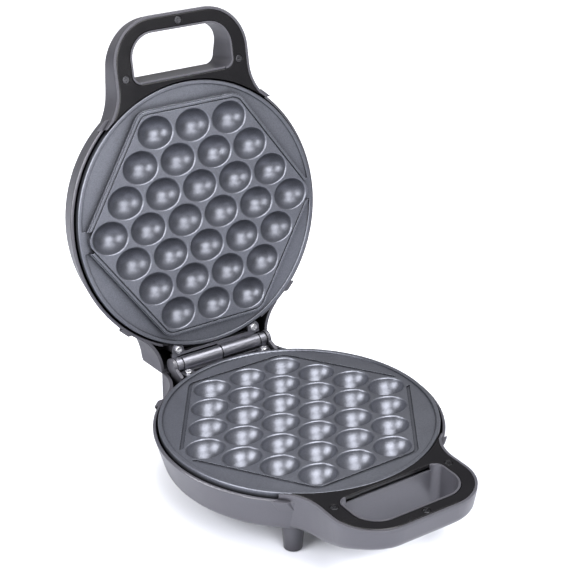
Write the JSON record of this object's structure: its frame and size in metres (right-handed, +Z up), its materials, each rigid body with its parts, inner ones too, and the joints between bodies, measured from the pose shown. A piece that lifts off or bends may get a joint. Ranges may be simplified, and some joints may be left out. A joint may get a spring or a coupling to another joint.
{
  "type": "bubble waffle maker",
  "caption": "Hinged bubble waffle maker standing open: round plates with rows of oval wells in shallow housings with matching finger-loop handles.",
  "frame": {"origin": "on the floor under the middle of the object's box, with the lid open at its stop", "axes": "+X along the hinge pin, to the right of a person at the handles; +Y from the base's handle towards the hinge; +Z up"},
  "size_m": [0.2184, 0.346, 0.3262],
  "materials": {
    "housing_plastic": "metallic charcoal grey, satin",
    "cover_plastic": "black, satin",
    "black_screw": "blackened steel",
    "foot_rubber": "matte black",
    "nonstick_plate": "dark grey non-stick coating, semi-gloss",
    "element_sheath": "dull sheath",
    "shield_metal": "mill finish",
    "steel": "zinc-plated",
    "hinge_metal": "grey, satin",
    "insulator": "off-white",
    "gland_plastic": "black",
    "red_lens": "clear red, polished",
    "green_lens": "clear green, polished",
    "lamp_glass": "clear"
  },
  "bodies": {
    "base": {"base_housing": "housing_plastic", "base_legs": "housing_plastic", "foot_pads": "foot_rubber", "base_handle_cover": "cover_plastic", "base_cover_screws": "black_screw", "lower_plate": "nonstick_plate", "lower_heating_element": "element_sheath", "lower_heat_shield": "shield_metal", "lower_plate_screws": "steel", "thermostat": "steel", "thermal_fuse": "element_sheath", "fuse_clip": "steel", "terminal_block": "insulator", "cord_gland": "gland_plastic", "base_hinge_bracket": "hinge_metal", "base_hinge_screws": "steel", "hinge_pin": "steel"},
    "lid": {"lid_housing": "housing_plastic", "lid_handle_cover": "cover_plastic", "lid_cover_screws": "black_screw", "upper_plate": "nonstick_plate", "upper_heating_element": "element_sheath", "upper_heat_shield": "shield_metal", "upper_plate_screws": "steel", "power_lamp_lens": "red_lens", "ready_lamp_lens": "green_lens", "lamp_carrier": "insulator", "neon_lamps": "lamp_glass", "lid_hinge_bracket": "hinge_metal", "lid_hinge_screws": "steel"}
  },
  "joints": [
    {"name": "lid_hinge", "type": "hinge", "parent": "base", "child": "lid", "pos_m": [0, 0.0991, 0.059], "axis": [1, 0, 0], "range_deg": [0, 100.2]}
  ]
}
